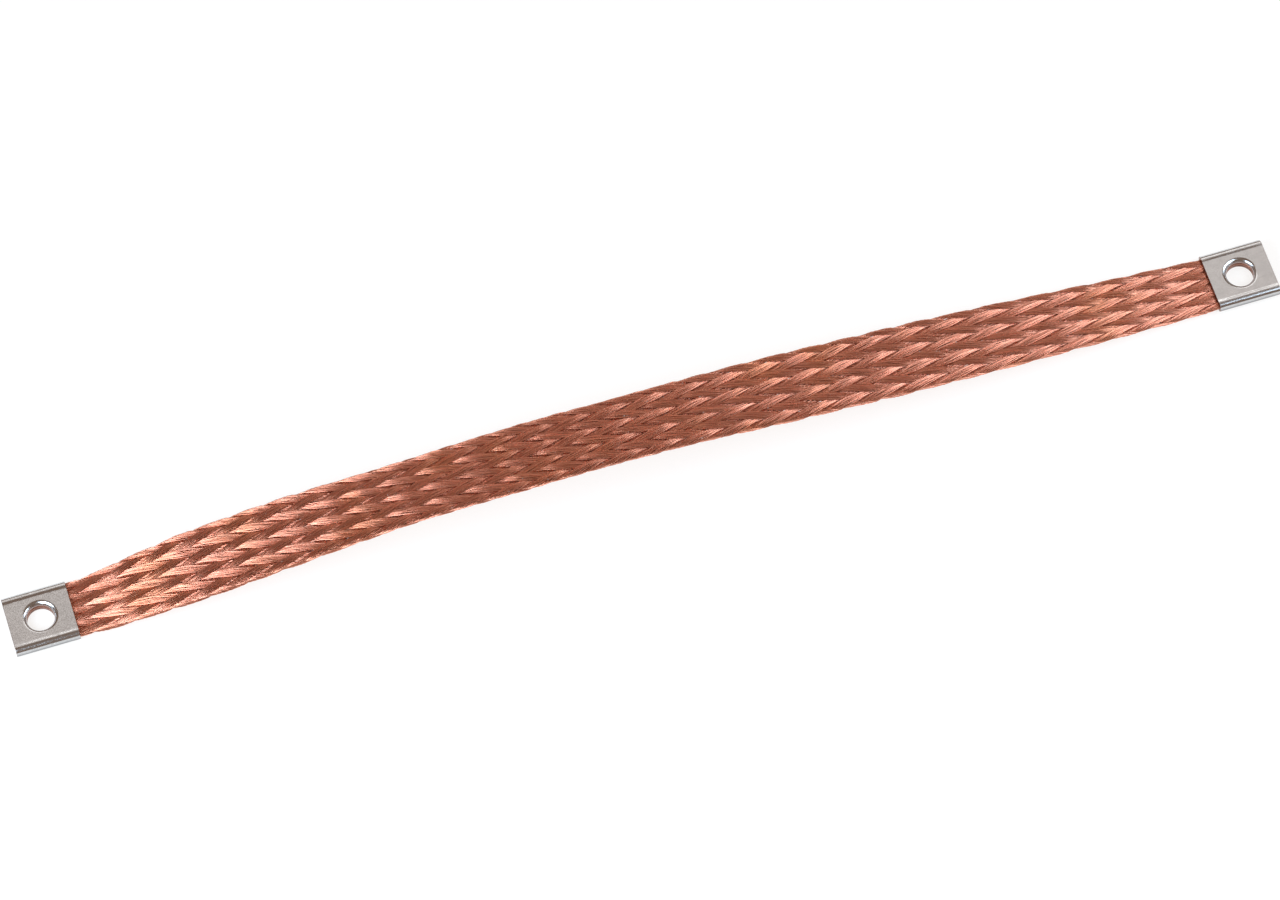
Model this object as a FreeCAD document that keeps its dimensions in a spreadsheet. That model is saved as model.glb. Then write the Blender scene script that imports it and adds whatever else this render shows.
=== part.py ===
"""Grounding strap: a flat copper braid with a pressed, tinned ferrule and a bolt hole at each end.

Millimetres, +Z up. X runs along the strap and Y across it. Both ferrules lie flat on z = 0 and the
braid arches between them. The origin is on that surface, midway between the two bolt holes.
"""
import FreeCAD, Part
import math
import os
import Sketcher

SIZES = {
    # overall
    "hole_spacing": 300.0,       # between the bolt holes, straight across the arch
    "bolt_hole": 6.6,            # clearance hole for an M6 bolt
    # ferrules
    "ferrule_length": 15.5,
    "ferrule_width": 15.5,
    "sleeve_wall": 0.6,
    "bead_height": 0.12,         # the rolled sides stand this much above the pressed land
    "bead_margin": 2.3,          # from the ferrule's side to the pressed land
    "lip_radius": 1.1,           # the top wall is drawn down into the hole at this radius
    "lip_collar": 0.1,           # short straight end of the drawn lip
    "edge_break": 0.15,          # on the hole's edge in the underside
    # braid
    "pressed_thickness": 1.8,    # the braid between the two walls of a ferrule
    "braid_width": 17.4,
    "braid_thickness": 2.0,
    "float_pitch": 9.1,          # along the strap, from one float to the next in its row
    "float_height": 0.26,        # how far a float stands above the grooves around it
    "left_flare": 20.0,          # length over which the braid widens out of the left ferrule
    "right_flare": 46.0,
    "swell_length": 12.0,        # length over which it thickens out of a ferrule
    "end_inset": 0.3,            # cut end of the braid, in from the ferrule's outer end
    "tuck": 1.0,                 # the woven stretch starts this far inside a ferrule
    # arch
    "rise_angle": 11.5,          # degrees, steepest slope beside the left ferrule
    "fall_angle": 5.1,           # degrees, slope down to the right ferrule
    "left_bend": 60.0,           # radius of the bend out of the left ferrule
    "right_bend": 150.0,
    # fits
    "fit_gap": 0.05,             # between the braid and the ferrule's inner sides
}

# A flat braid made on 32 carriers, 16 each way. Two crossings wide is one row of floats.
CROSSINGS_ROUND = 32
ROW_CROSSINGS = 4
EDGE_CROSSING = 2.5              # a row of floats lies centred on each side of the strap
TOP_END = 0.14                   # where a float's raised top begins, as a share of its length
TOP_SIDE = 0.55                  # half width of the raised top, as a share of the float's


def make_sheet(doc):
    """The spreadsheet with one named cell for each driving size."""
    sheet = doc.addObject("Spreadsheet::Sheet", "Sizes")
    for row, (alias, value) in enumerate(SIZES.items(), start=1):
        sheet.set(f"A{row}", alias)
        sheet.set(f"B{row}", str(value))
        sheet.setAlias(f"B{row}", alias)
    doc.recompute()
    return sheet


def origin_plane(body, role):
    """One of the body's own origin planes."""
    return next(plane for plane in body.Origin.OriginFeatures if plane.Role == role)


def new_sketch(body, name, role):
    """A sketch of the body on one of its origin planes."""
    sketch = body.newObject("Sketcher::SketchObject", name)
    sketch.AttachmentSupport = (origin_plane(body, role), [""])
    sketch.MapMode = "FlatFace"
    return sketch


def vector(x, y):
    return FreeCAD.Vector(x, y, 0)


def line(sketch, start, end):
    return sketch.addGeometry(Part.LineSegment(vector(*start), vector(*end)), False)


def arc(sketch, centre, radius, first_degrees, last_degrees):
    """An arc drawn anticlockwise between two directions from its centre."""
    circle = Part.Circle(vector(*centre), FreeCAD.Vector(0, 0, 1), radius)
    turn = Part.ArcOfCircle(circle, math.radians(first_degrees), math.radians(last_degrees))
    return sketch.addGeometry(turn, False)


def constrain(sketch, kind, *where):
    return sketch.addConstraint(Sketcher.Constraint(kind, *where))


def drawn_size(sketch, kind, where):
    """The size that the geometry is drawn at, for a dimension's first value."""
    if kind == "Radius":
        return sketch.Geometry[where[0]].Radius
    reach = sketch.getPoint(*where[2:]) - sketch.getPoint(*where[:2])
    return reach.x if kind == "DistanceX" else reach.y


def dimension(sketch, name, kind, where, expression):
    """A named dimension bound to the sheet."""
    index = constrain(sketch, kind, *where, drawn_size(sketch, kind, where))
    sketch.renameConstraint(index, name)
    sketch.setExpression(f"Constraints.{name}", expression)


START, END = 1, 2
ACROSS_AXIS, UP_AXIS, ROOT = -1, -2, -1


def sleeve_profile(body, sheet):
    """Section of the flattened tube: full round sides, a flat underside and a pressed land on top."""
    sketch = new_sketch(body, "SleeveProfile", "YZ_Plane")
    thickness = 2 * sheet.sleeve_wall + sheet.pressed_thickness
    bead = thickness + sheet.bead_height
    side = sheet.ferrule_width / 2 - bead / 2
    land = sheet.ferrule_width / 2 - sheet.bead_margin
    under = line(sketch, (-side, 0), (side, 0))
    right = arc(sketch, (side, bead / 2), bead / 2, -90, 90)
    right_slope = line(sketch, (side, bead), (land, thickness))
    top = line(sketch, (land, thickness), (-land, thickness))
    left_slope = line(sketch, (-land, thickness), (-side, bead))
    left = arc(sketch, (-side, bead / 2), bead / 2, 90, 270)
    constrain(sketch, "Tangent", under, END, right, START)
    constrain(sketch, "Coincident", right, END, right_slope, START)
    constrain(sketch, "Coincident", right_slope, END, top, START)
    constrain(sketch, "Coincident", top, END, left_slope, START)
    constrain(sketch, "Coincident", left_slope, END, left, START)
    constrain(sketch, "Tangent", left, END, under, START)
    constrain(sketch, "Symmetric", under, START, under, END, UP_AXIS)
    constrain(sketch, "Symmetric", top, START, top, END, UP_AXIS)
    constrain(sketch, "PointOnObject", under, START, ACROSS_AXIS)
    constrain(sketch, "Vertical", right, START, right, END)
    constrain(sketch, "Vertical", left, START, left, END)
    stack = "(2 * Sizes.sleeve_wall + Sizes.pressed_thickness)"
    dimension(sketch, "bead", "DistanceY", (right, START, right, END), f"{stack} + Sizes.bead_height")
    dimension(sketch, "bead_left", "DistanceY", (left, END, left, START), f"{stack} + Sizes.bead_height")
    dimension(sketch, "flat_under", "DistanceX", (under, START, under, END),
              f"Sizes.ferrule_width - {stack} - Sizes.bead_height")
    dimension(sketch, "land_level", "DistanceY", (under, START, top, END), stack)
    dimension(sketch, "land_width", "DistanceX", (top, END, top, START),
              "Sizes.ferrule_width - 2 * Sizes.bead_margin")

    wall = sheet.sleeve_wall
    slot = sheet.pressed_thickness
    half_flat = sheet.ferrule_width / 2 - wall - slot / 2
    floor = line(sketch, (-half_flat, wall), (half_flat, wall))
    right_end = arc(sketch, (half_flat, wall + slot / 2), slot / 2, -90, 90)
    ceiling = line(sketch, (half_flat, wall + slot), (-half_flat, wall + slot))
    left_end = arc(sketch, (-half_flat, wall + slot / 2), slot / 2, 90, 270)
    constrain(sketch, "Tangent", floor, END, right_end, START)
    constrain(sketch, "Tangent", right_end, END, ceiling, START)
    constrain(sketch, "Tangent", ceiling, END, left_end, START)
    constrain(sketch, "Tangent", left_end, END, floor, START)
    constrain(sketch, "Equal", right_end, left_end)
    constrain(sketch, "Symmetric", floor, START, floor, END, UP_AXIS)
    dimension(sketch, "slot_floor", "DistanceY", (under, START, floor, START), "Sizes.sleeve_wall")
    dimension(sketch, "slot_height", "DistanceY", (floor, END, ceiling, START), "Sizes.pressed_thickness")
    dimension(sketch, "slot_flat", "DistanceX", (floor, START, floor, END),
              "Sizes.ferrule_width - 2 * Sizes.sleeve_wall - Sizes.pressed_thickness")
    return sketch


def hole_profile(body, sheet):
    """Half section of the punched hole: wide through the top wall, the bolt's size through the lower one."""
    sketch = new_sketch(body, "HoleProfile", "XZ_Plane")
    bore = sheet.bolt_hole / 2
    wide = bore + sheet.lip_radius
    middle = sheet.sleeve_wall + sheet.pressed_thickness / 2
    top = 2 * sheet.sleeve_wall + sheet.pressed_thickness + sheet.bead_height
    corners = [(0, 0), (bore, 0), (bore, middle), (wide, middle), (wide, top), (0, top)]
    edges = [line(sketch, a, b) for a, b in zip(corners, corners[1:] + corners[:1])]
    for first, second in zip(edges, edges[1:] + edges[:1]):
        constrain(sketch, "Coincident", first, END, second, START)
    for level in edges[0::2]:
        constrain(sketch, "Horizontal", level)
    for upright in edges[1::2]:
        constrain(sketch, "Vertical", upright)
    constrain(sketch, "Coincident", edges[0], START, ROOT, START)
    dimension(sketch, "bore", "DistanceX", (edges[0], START, edges[0], END), "Sizes.bolt_hole / 2")
    dimension(sketch, "wide", "DistanceX", (edges[4], END, edges[4], START),
              "Sizes.bolt_hole / 2 + Sizes.lip_radius")
    dimension(sketch, "middle", "DistanceY", (edges[1], START, edges[1], END),
              "Sizes.sleeve_wall + Sizes.pressed_thickness / 2")
    dimension(sketch, "top", "DistanceY", (edges[5], END, edges[5], START),
              "2 * Sizes.sleeve_wall + Sizes.pressed_thickness + Sizes.bead_height")
    return sketch


def lip_profile(body, sheet):
    """Half section of the drawn lip: the top wall turns down into the hole and ends in a short collar."""
    sketch = new_sketch(body, "LipProfile", "XZ_Plane")
    bore = sheet.bolt_hole / 2
    wall = sheet.sleeve_wall
    radius = sheet.lip_radius
    top = 2 * wall + sheet.pressed_thickness
    centre = (bore + radius, top - radius)
    foot = top - radius - sheet.lip_collar
    root = bore + radius + wall
    over = arc(sketch, centre, radius, 90, 180)
    throat = line(sketch, (bore, top - radius), (bore, foot))
    rim = line(sketch, (bore, foot), (bore + wall, foot))
    outside = line(sketch, (bore + wall, foot), (bore + wall, top - radius))
    inside_turn = line(sketch, (bore + wall, top - radius), (bore + radius, top - wall))
    beneath = line(sketch, (bore + radius, top - wall), (root, top - wall))
    joint = line(sketch, (root, top - wall), (root, top))
    face = line(sketch, (root, top), (bore + radius, top))
    constrain(sketch, "Tangent", over, END, throat, START)
    constrain(sketch, "Coincident", throat, END, rim, START)
    constrain(sketch, "Coincident", rim, END, outside, START)
    constrain(sketch, "Coincident", outside, END, inside_turn, START)
    constrain(sketch, "Coincident", inside_turn, END, beneath, START)
    constrain(sketch, "Coincident", beneath, END, joint, START)
    constrain(sketch, "Coincident", joint, END, face, START)
    constrain(sketch, "Tangent", face, END, over, START)
    for upright in (throat, outside, joint):
        constrain(sketch, "Vertical", upright)
    for level in (rim, beneath, face):
        constrain(sketch, "Horizontal", level)
    constrain(sketch, "Horizontal", throat, START, outside, END)
    constrain(sketch, "Vertical", face, END, beneath, START)
    dimension(sketch, "bore", "DistanceX", (ROOT, START, throat, START), "Sizes.bolt_hole / 2")
    dimension(sketch, "level", "DistanceY", (ROOT, START, face, END),
              "2 * Sizes.sleeve_wall + Sizes.pressed_thickness")
    dimension(sketch, "turn", "Radius", (over,), "Sizes.lip_radius")
    dimension(sketch, "wall", "DistanceX", (rim, START, rim, END), "Sizes.sleeve_wall")
    dimension(sketch, "collar", "DistanceY", (throat, END, throat, START), "Sizes.lip_collar")
    dimension(sketch, "root", "DistanceX", (face, END, face, START), "Sizes.sleeve_wall")
    dimension(sketch, "gauge", "DistanceY", (joint, START, joint, END), "Sizes.sleeve_wall")
    return sketch


def hole_rim(shape, sheet):
    """The sharp edge that the punch leaves round the hole in the underside."""
    near = sheet.edge_break / 10
    rims = []
    for number, edge in enumerate(shape.Edges, start=1):
        box = edge.BoundBox
        if box.ZMax < near and abs(box.YLength - sheet.bolt_hole) < near:
            rims.append(f"Edge{number}")
    return rims


def make_ferrule(doc, sheet, label, side):
    """One ferrule: flattened tube, and a punched hole with a drawn lip and a broken lower edge."""
    body = doc.addObject("PartDesign::Body", label)
    body.Label = label
    sleeve = body.newObject("PartDesign::Pad", "Sleeve")
    sleeve.Profile = sleeve_profile(body, sheet)
    sleeve.SideType = "Symmetric"
    sleeve.setExpression("Length", "Sizes.ferrule_length")
    doc.recompute()

    hole = body.newObject("PartDesign::Groove", "PunchedHole")
    hole.Profile = hole_profile(body, sheet)
    hole.ReferenceAxis = (hole.Profile[0], ["V_Axis"])
    hole.Angle = 360
    doc.recompute()

    lip = body.newObject("PartDesign::Revolution", "DrawnLip")
    lip.Profile = lip_profile(body, sheet)
    lip.ReferenceAxis = (lip.Profile[0], ["V_Axis"])
    lip.Angle = 360
    doc.recompute()

    rim = body.newObject("PartDesign::Chamfer", "BrokenRim")
    rim.Base = (lip, hole_rim(lip.Shape, sheet))
    rim.setExpression("Size", "Sizes.edge_break")
    body.Tip = rim
    body.setExpression(".Placement.Base.x", f"{side} * Sizes.hole_spacing / 2")
    doc.recompute()
    return body


class Centreline:
    """Middle of the braid from one ferrule's mouth to the other, in the XZ plane.

    A bend up out of the left ferrule, the arch, a straight run down and a bend into the right
    ferrule, each tangent to the next. The arch's radius and the run's length follow from the span.
    """

    def __init__(self, sheet):
        rise = math.radians(sheet.rise_angle)
        fall = math.radians(sheet.fall_angle)
        span = sheet.hole_spacing - sheet.ferrule_length
        left, right = sheet.left_bend, sheet.right_bend
        # across: reach_arch * arch + cos(fall) * run = reach;  up: lift_arch * arch = sin(fall) * run + drop
        reach = span - left * math.sin(rise) - right * math.sin(fall)
        reach_arch = math.sin(rise) + math.sin(fall)
        lift_arch = math.cos(fall) - math.cos(rise)
        drop = right * (1 - math.cos(fall)) - left * (1 - math.cos(rise))
        scale = reach_arch * math.sin(fall) + lift_arch * math.cos(fall)
        arch = (reach * math.sin(fall) + drop * math.cos(fall)) / scale
        run = (reach - reach_arch * arch) / math.cos(fall)
        # each stretch: its length and how much it turns
        self.stretches = [
            (left * rise, rise),
            (arch * (rise + fall), -(rise + fall)),
            (run, 0.0),
            (right * fall, fall),
        ]
        self.length = sum(length for length, turn in self.stretches)
        self.start_x = -span / 2
        self.start_z = sheet.sleeve_wall + sheet.pressed_thickness / 2

    def at(self, along):
        """Place (x, z) and slope at a distance along the braid. Past either end it runs on straight."""
        x, z, slope = self.start_x, self.start_z, 0.0
        if along < 0:
            return x + along, z, slope
        left_over = along
        for length, turn in self.stretches:
            part = min(left_over, length)
            bend = turn * part / length
            chord = part if bend == 0 else part * math.sin(bend / 2) / (bend / 2)
            x += chord * math.cos(slope + bend / 2)
            z += chord * math.sin(slope + bend / 2)
            slope += bend
            left_over -= part
        return x + left_over, z, slope


def ease(share):
    """Smooth step from 0 to 1."""
    share = max(0.0, min(1.0, share))
    return share * share * (3 - 2 * share)


class BraidWall:
    """Outer wall of the flattened braid, as a place for each distance along it and crossing round it."""

    def __init__(self, sheet):
        self.sheet = sheet
        self.path = Centreline(sheet)
        self.mouth_thickness = sheet.pressed_thickness - 4 * sheet.fit_gap
        self.mouth_width = sheet.ferrule_width - 2 * sheet.sleeve_wall - 4 * sheet.fit_gap

    def section(self, along):
        """Width and thickness over the floats at a distance along the braid."""
        sheet = self.sheet
        to_right = self.path.length - along
        wide = ease(along / sheet.left_flare) * ease(to_right / sheet.right_flare)
        thick = ease(along / sheet.swell_length) * ease(to_right / sheet.swell_length)
        width = self.mouth_width + (sheet.braid_width - self.mouth_width) * wide
        thickness = self.mouth_thickness + (sheet.braid_thickness - self.mouth_thickness) * thick
        return width, thickness

    def place(self, along, crossing, height):
        """Point on the wall. The crossing runs from the front side over the top to the back and under.

        The section is two flats joined by half rounds. Height is measured out of the wall as a share
        of the float height, from 0 in the grooves to 1 on top of a float.
        """
        width, thickness = self.section(along)
        full = self.sheet.float_height
        half = thickness / 2 - full
        flat = width - thickness
        girth = 2 * flat + 2 * math.pi * half
        walked = ((crossing - EDGE_CROSSING) / CROSSINGS_ROUND % 1.0) * girth
        quarter = math.pi * half / 2
        upper = walked <= girth / 2
        if not upper:
            walked = girth - walked
        if walked < quarter:
            across, angle = -flat / 2, math.pi - walked / half
        elif walked > quarter + flat:
            across, angle = flat / 2, math.pi / 2 - (walked - quarter - flat) / half
        else:
            across, angle = walked - quarter - flat / 2, math.pi / 2
        reach = half + height * full
        y = across + reach * math.cos(angle)
        out = reach * math.sin(angle) * (1 if upper else -1)
        x, z, slope = self.path.at(along)
        return FreeCAD.Vector(x - out * math.sin(slope), y, z + out * math.cos(slope))


def float_facets(first, step):
    """Corners of one float as (crossing round, half pitches along, height), and its triangles.

    A float covers two crossings of its strand. It has six corners in the grooves, and pairs of corners
    along its raised top: one near each end, and one between them where it wraps round the strap's side.
    step is +1 for strands that climb round the strap and -1 for those that fall.
    """
    round_0, along_0 = first
    groove = [(0, -1), (-1, 0), (0, 1), (1, 2), (2, 1), (1, 0)]
    corners = [(round_0 + a, along_0 + step * b, 0.0) for a, b in groove]
    wraps = (round_0 + 0.5 - EDGE_CROSSING) % (CROSSINGS_ROUND / 2) == 0
    shares = (TOP_END, 0.5, 1 - TOP_END) if wraps else (TOP_END, 1 - TOP_END)
    for share in shares:
        for side in (-TOP_SIDE, TOP_SIDE):
            around = round_0 - 0.5 + 2 * share + 0.5 * side
            along = along_0 + step * (-0.5 + 2 * share - 0.5 * side)
            corners.append((around, along, 1.0))
    ends = [(0, 1, 6), (0, 6, 7)]
    if wraps:
        ends += [(3, 4, 10), (4, 11, 10)]
        sides = [(1, 2, 6), (2, 8, 6), (2, 3, 8), (3, 10, 8), (4, 5, 11), (5, 9, 11), (5, 0, 9), (0, 7, 9)]
        top = [(6, 8, 7), (8, 9, 7), (8, 10, 9), (10, 11, 9)]
    else:
        ends += [(3, 4, 8), (4, 9, 8)]
        sides = [(1, 2, 6), (2, 8, 6), (2, 3, 8), (4, 5, 9), (5, 7, 9), (5, 0, 7)]
        top = [(6, 8, 7), (8, 9, 7)]
    triangles = ends + sides + top
    if step < 0:
        triangles = [(a, c, b) for a, b, c in triangles]
    return corners, triangles


def clip(polygon, limit, keep):
    """The part of a polygon of (crossing, along, height) corners on one side of a limit along the strap."""
    kept = []
    for a, b in zip(polygon, polygon[1:] + polygon[:1]):
        inside_a = keep * (a[1] - limit) >= 0
        inside_b = keep * (b[1] - limit) >= 0
        if inside_a:
            kept.append(a)
        if inside_a != inside_b:
            low, high = sorted((a, b))
            share = (limit - low[1]) / (high[1] - low[1])
            kept.append((low[0] + share * (high[0] - low[0]), limit, low[2] + share * (high[2] - low[2])))
    return kept


def woven_solid(sheet):
    """The woven stretch: a closed wall of floats, two over and two under, capped inside the ferrules."""
    wall = BraidWall(sheet)
    half_pitch = sheet.float_pitch / 2
    start = -sheet.tuck / half_pitch
    finish = (wall.path.length + sheet.tuck) / half_pitch
    points = []
    numbers = {}
    facets = []
    rims = {start: {}, finish: {}}

    def number(corner):
        around, along, height = corner
        key = (round(around % CROSSINGS_ROUND, 6) % CROSSINGS_ROUND, round(along, 6), round(height, 6))
        if key not in numbers:
            numbers[key] = len(points)
            points.append(wall.place(along * half_pitch, around, height))
        return numbers[key]

    first_row = 2 * math.floor(start / 2) - 4
    last_row = 2 * math.ceil(finish / 2) + 4
    for along in range(first_row, last_row + 1, 2):
        for around in range(0, CROSSINGS_ROUND, ROW_CROSSINGS):
            for first, step in (((around, along), 1), ((around + 2, along), -1)):
                corners, triangles = float_facets(first, step)
                for triangle in triangles:
                    polygon = [corners[index] for index in triangle]
                    polygon = clip(clip(polygon, start, 1), finish, -1)
                    loop = [number(corner) for corner in polygon]
                    for a, b in zip(loop[1:], loop[2:]):
                        if len({loop[0], a, b}) == 3:
                            facets.append((loop[0], a, b))
                    for a, b in zip(polygon, polygon[1:] + polygon[:1]):
                        if a[1] == b[1] and a[1] in rims and number(a) != number(b):
                            rims[a[1]][number(b)] = number(a)

    skin = Part.Shape()
    skin.makeShapeFromMesh((points, facets), sheet.fit_gap / 1000)
    faces = skin.Faces
    for rim in rims.values():
        loop = [next(iter(rim))]
        while rim[loop[-1]] != loop[0]:
            loop.append(rim[loop[-1]])
        corners = [points[index] for index in loop]
        faces.append(Part.Face(Part.makePolygon(corners + corners[:1])))
    shell = Part.Compound(faces)
    shell.sewShape()
    solid = Part.Solid(shell.Shells[0])
    if solid.Volume < 0:
        solid.reverse()
    return solid


def make_tab(doc, name, side):
    """Pressed end of the braid: flat faces against the ferrule's walls, and rounded sides."""
    block = doc.addObject("Part::Box", name + "Block")
    block.setExpression("Length", "Sizes.ferrule_length - Sizes.end_inset")
    block.setExpression("Width", "Sizes.ferrule_width - 2 * Sizes.sleeve_wall - 2 * Sizes.fit_gap"
                        " - Sizes.pressed_thickness")
    block.setExpression("Height", "Sizes.pressed_thickness")
    outer = "Sizes.ferrule_length / 2 - Sizes.end_inset" if side < 0 else "Sizes.ferrule_length / 2"
    block.setExpression(".Placement.Base.x", f"{side} * Sizes.hole_spacing / 2 - ({outer})")
    block.setExpression(".Placement.Base.y", f"-{name}Block.Width / 2")
    block.setExpression(".Placement.Base.z", "Sizes.sleeve_wall")
    pieces = [block]
    for edge in (-1, 1):
        round_side = doc.addObject("Part::Cylinder", name + ("Front" if edge < 0 else "Back"))
        round_side.setExpression("Radius", "Sizes.pressed_thickness / 2")
        round_side.setExpression("Height", f"{name}Block.Length")
        round_side.Placement.Rotation = FreeCAD.Rotation(FreeCAD.Vector(0, 1, 0), 90)
        round_side.setExpression(".Placement.Base.x", f"{name}Block.Placement.Base.x")
        round_side.setExpression(".Placement.Base.y", f"{edge} * {name}Block.Width / 2")
        round_side.setExpression(".Placement.Base.z", "Sizes.sleeve_wall + Sizes.pressed_thickness / 2")
        pieces.append(round_side)
    tab = doc.addObject("Part::MultiFuse", name)
    tab.Shapes = pieces
    tab.Refine = True
    return tab


def make_punch(doc, name, side):
    """What is punched out of a pressed end: the bolt hole, and room under the ferrule's drawn lip."""
    bore = doc.addObject("Part::Cylinder", name + "Bore")
    bore.setExpression("Radius", "Sizes.bolt_hole / 2")
    bore.setExpression("Height", "2 * Sizes.sleeve_wall + Sizes.pressed_thickness")
    bore.setExpression(".Placement.Base.x", f"{side} * Sizes.hole_spacing / 2")
    room = doc.addObject("Part::Cylinder", name + "Room")
    room.setExpression("Radius", "Sizes.bolt_hole / 2 + Sizes.lip_radius + Sizes.fit_gap")
    room.setExpression("Height", "Sizes.lip_radius + Sizes.lip_collar + Sizes.fit_gap")
    room.setExpression(".Placement.Base.x", f"{side} * Sizes.hole_spacing / 2")
    room.setExpression(".Placement.Base.z", "2 * Sizes.sleeve_wall + Sizes.pressed_thickness"
                       " - Sizes.lip_radius - Sizes.lip_collar - Sizes.fit_gap")
    punch = doc.addObject("Part::Fuse", name)
    punch.Base = bore
    punch.Tool = room
    return punch


def make_braid(doc, sheet):
    """The copper braid: woven between the ferrules, pressed flat and punched inside them."""
    woven = doc.addObject("Part::Feature", "WovenStretch")
    woven.Shape = woven_solid(sheet)
    whole = doc.addObject("Part::MultiFuse", "BraidBlank")
    whole.Shapes = [woven, make_tab(doc, "LeftTab", -1), make_tab(doc, "RightTab", 1)]
    whole.Refine = False
    punches = doc.addObject("Part::MultiFuse", "Punches")
    punches.Shapes = [make_punch(doc, "LeftPunch", -1), make_punch(doc, "RightPunch", 1)]
    braid = doc.addObject("Part::Cut", "copper_braid")
    braid.Label = "copper_braid"
    braid.Base = whole
    braid.Tool = punches
    braid.Refine = False
    doc.recompute()
    return braid


def main():
    doc = FreeCAD.newDocument("GroundingStrap")
    sheet = make_sheet(doc)
    nodes = [
        make_braid(doc, sheet),
        make_ferrule(doc, sheet, "left_ferrule", -1),
        make_ferrule(doc, sheet, "right_ferrule", 1),
    ]
    doc.recompute()
    for item in doc.Objects:
        if "Invalid" in item.State or "Error" in item.State:
            raise RuntimeError(f"{item.Label} failed: {item.State}")
    os.makedirs("parts", exist_ok=True)
    for node in nodes:
        if node.Shape.isNull() or not node.Shape.isValid() or len(node.Shape.Solids) != 1:
            raise RuntimeError(f"{node.Label} is not one valid solid")
    for node in nodes:
        node.Shape.exportStep(f"parts/{node.Label}.step")
        print(node.Label, round(node.Shape.Volume, 2), node.Shape.BoundBox)


main()
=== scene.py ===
import math
import bmesh
import bpy
import numpy as np
from mathutils import Matrix, Vector


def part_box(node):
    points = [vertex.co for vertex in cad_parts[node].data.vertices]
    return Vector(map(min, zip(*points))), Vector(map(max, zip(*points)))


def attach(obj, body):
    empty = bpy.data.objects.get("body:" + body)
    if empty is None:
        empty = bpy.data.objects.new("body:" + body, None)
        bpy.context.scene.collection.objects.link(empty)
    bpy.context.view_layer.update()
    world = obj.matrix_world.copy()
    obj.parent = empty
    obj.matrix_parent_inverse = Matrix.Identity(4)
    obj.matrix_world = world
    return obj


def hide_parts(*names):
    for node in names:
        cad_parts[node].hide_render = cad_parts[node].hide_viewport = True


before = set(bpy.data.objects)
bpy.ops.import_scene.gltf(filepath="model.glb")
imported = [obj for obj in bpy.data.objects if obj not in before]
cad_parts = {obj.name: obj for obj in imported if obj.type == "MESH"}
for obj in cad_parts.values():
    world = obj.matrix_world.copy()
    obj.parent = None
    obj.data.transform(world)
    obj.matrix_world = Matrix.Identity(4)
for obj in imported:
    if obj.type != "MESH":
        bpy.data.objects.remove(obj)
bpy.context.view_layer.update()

# Copper braid
# Bare copper wire braided on 32 carriers, 8 wires to a strand, into a tube that is rolled flat.
# Each strand passes over two and under two, so rows of floats slant by turns one way and the other.
# The flat tube widens out of each ferrule and lies in a low arch between them.
# Lengths are in millimetres, and MM turns them into metres.
MM = 0.001
left_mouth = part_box("left_ferrule")[1].x / MM
right_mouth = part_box("right_ferrule")[0].x / MM
MOUTH_LEVEL = 1.5
RISE = math.radians(11.5)
FALL = math.radians(5.1)
LEFT_BEND = 60.0
RIGHT_BEND = 150.0


def arch_stretches():
    """Length and turn of each stretch of the middle line: bend up, arch, straight run down, bend level.

    The stretches are tangent. The span and the equal level of both ends give the arch's radius and the run.
    """
    reach = right_mouth - left_mouth - LEFT_BEND * math.sin(RISE) - RIGHT_BEND * math.sin(FALL)
    reach_arch = math.sin(RISE) + math.sin(FALL)
    lift_arch = math.cos(FALL) - math.cos(RISE)
    drop = RIGHT_BEND * (1 - math.cos(FALL)) - LEFT_BEND * (1 - math.cos(RISE))
    scale = reach_arch * math.sin(FALL) + lift_arch * math.cos(FALL)
    arch = (reach * math.sin(FALL) + drop * math.cos(FALL)) / scale
    run = (reach - reach_arch * arch) / math.cos(FALL)
    return [
        (LEFT_BEND * RISE, RISE),
        (arch * (RISE + FALL), -RISE - FALL),
        (run, 0.0),
        (RIGHT_BEND * FALL, FALL),
    ]


stretches = arch_stretches()
braid_length = sum(length for length, turn in stretches)


def middle_line(along):
    """x, z and slope at distances along the braid.

    Each stretch adds a chord: its length times sin(half turn) over half turn, at the mean slope.
    """
    x = left_mouth + np.minimum(along, 0)
    z = np.full_like(along, MOUTH_LEVEL)
    slope = np.zeros_like(along)
    left_over = np.maximum(along, 0)
    for length, turn in stretches:
        part = np.minimum(left_over, length)
        bend = turn * part / length
        chord = part * np.sinc(bend / 2 / np.pi)
        x = x + chord * np.cos(slope + bend / 2)
        z = z + chord * np.sin(slope + bend / 2)
        slope = slope + bend
        left_over = left_over - part
    return x + left_over, z, slope


def ease(share):
    """Smooth step from 0 to 1: 3 s squared less 2 s cubed."""
    share = np.clip(share, 0, 1)
    return share * share * (3 - 2 * share)


# The strap's width by share of its length, as hand-rolled braid varies, and its thickness. The side rounds
# are what the width leaves for the wires at both sides of the flats.
WIDTH_AT = [0.0, 0.02, 0.06, 0.11, 0.20, 0.29, 0.36, 0.47, 0.55, 0.61, 0.73, 0.80, 0.87, 0.93, 1.0]
WIDTHS = [14.3, 14.9, 16.4, 18.0, 17.6, 16.0, 16.7, 16.6, 17.1, 17.9, 17.9, 17.3, 16.2, 15.0, 14.4]
MOUTH_THICKNESS = 1.6
BRAID_THICKNESS = 2.0
SWELL_LENGTH = 12.0
SIDE_ROUNDS = 0.85
# A wire's radius, how far a strand rises and dives from the middle of the wall, and how far its middle wires
# stand above its outer ones on a float.
WIRE_RADIUS = 0.132
WAVE_HEIGHT = 0.26
DOME_HEIGHT = 0.20
# Curves along the braid are smoothed in steps of a millimetre, with a margin past both of its ends.
PAST_ENDS = 20.0
SMOOTHING_STEPS = 15


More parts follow.
